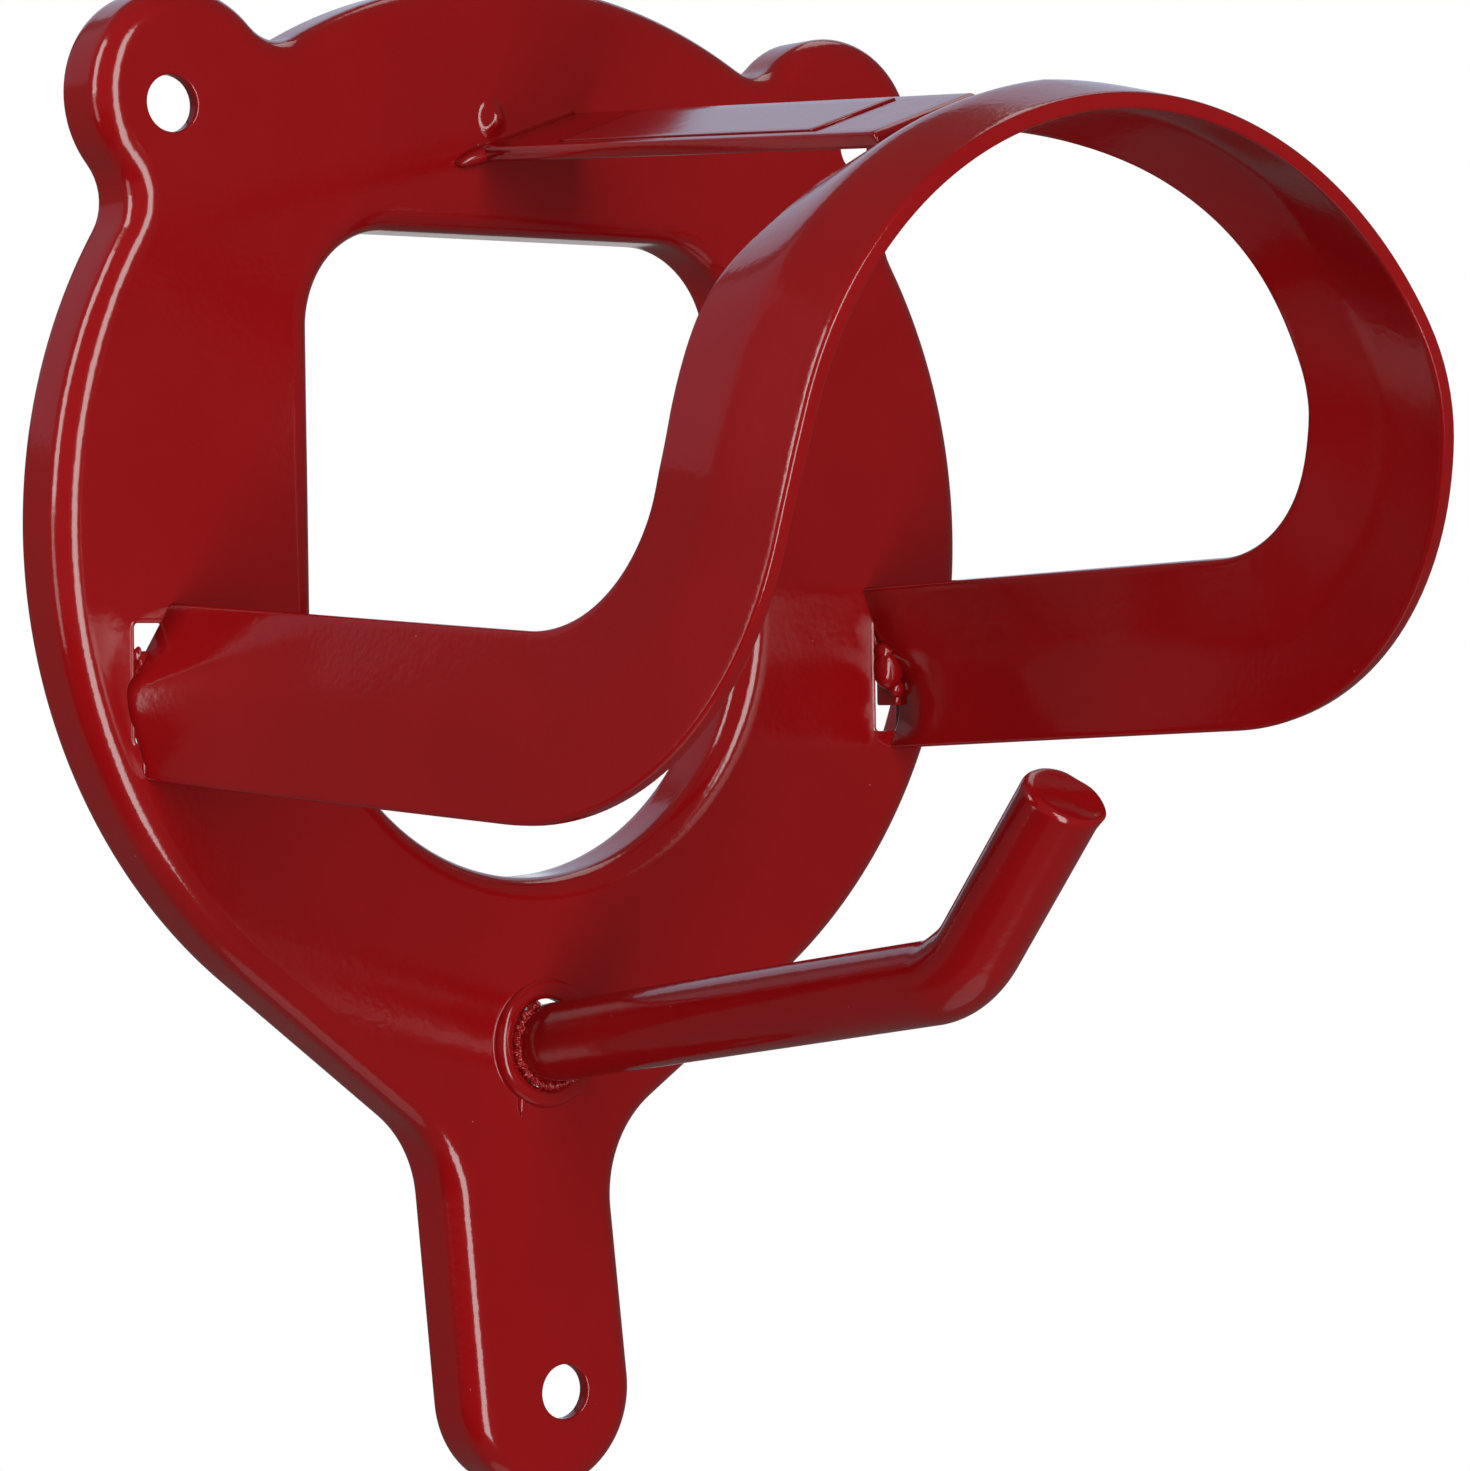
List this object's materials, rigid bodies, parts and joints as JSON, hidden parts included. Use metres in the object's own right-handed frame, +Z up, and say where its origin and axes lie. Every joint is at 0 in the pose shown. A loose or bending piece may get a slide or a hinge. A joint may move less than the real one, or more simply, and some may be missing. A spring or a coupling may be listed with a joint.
{
  "type": "bridle rack",
  "caption": "Wall-mounted bridle rack: a pressed steel plate with a bent strip arch for the headpiece, a brace strap and a bent rod hook for the reins.",
  "frame": {"origin": "on the front face of the plate, midway between its two upper screw holes", "axes": "X to the right for someone facing the rack, +Y into the wall, Z up; the arch and the hook stand out towards -Y"},
  "size_m": [0.144, 0.1275, 0.1972],
  "materials": {
    "powder_coat": "gloss deep red powder coat over steel",
    "label_film": "bare film, coloured as the coat under it"
  },
  "bodies": {
    "root": {"back_plate": "powder_coat", "arch_band": "powder_coat", "top_strap": "powder_coat", "rein_hook": "powder_coat", "left_leg_weld": "powder_coat", "right_leg_weld": "powder_coat", "strap_root_weld": "powder_coat", "strap_crown_weld": "powder_coat", "hook_weld": "powder_coat", "strap_label": "label_film"}
  },
  "joints": []
}
